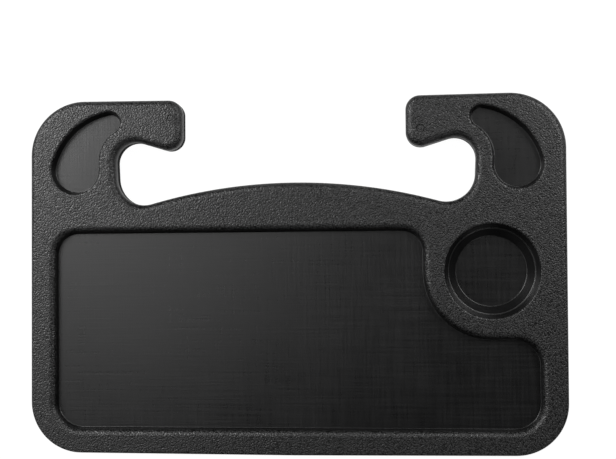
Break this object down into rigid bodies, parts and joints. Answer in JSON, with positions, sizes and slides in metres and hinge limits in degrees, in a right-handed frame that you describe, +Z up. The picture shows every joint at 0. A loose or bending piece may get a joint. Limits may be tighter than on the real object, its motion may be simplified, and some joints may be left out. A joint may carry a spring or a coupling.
{
  "type": "steering wheel tray",
  "caption": "Flat tray that hangs on a steering wheel by its hooks, with a large food recess, a stepped cup well and curved corner pockets, built from screwed moulded shells.",
  "frame": {"origin": "middle of the tray's outline, on the surface that it lies on", "axes": "+X to the cup well's side along the width, +Y towards the hooks, +Z up out of the food side"},
  "size_m": [0.425, 0.2816, 0.022],
  "materials": {
    "rim_plastic": "fine grain on the rim, satin in the recesses",
    "underside_plastic": "fine grain",
    "screw_steel": "zinc plated steel"
  },
  "bodies": {
    "root": {"upper_shell": "rim_plastic", "lower_shell": "underside_plastic", "left_tip_screw": "screw_steel", "right_tip_screw": "screw_steel", "left_corner_screw": "screw_steel", "right_corner_screw": "screw_steel", "left_side_screw": "screw_steel", "right_side_screw": "screw_steel", "left_arch_screw": "screw_steel", "right_arch_screw": "screw_steel", "left_front_screw": "screw_steel", "right_front_screw": "screw_steel"}
  },
  "joints": []
}
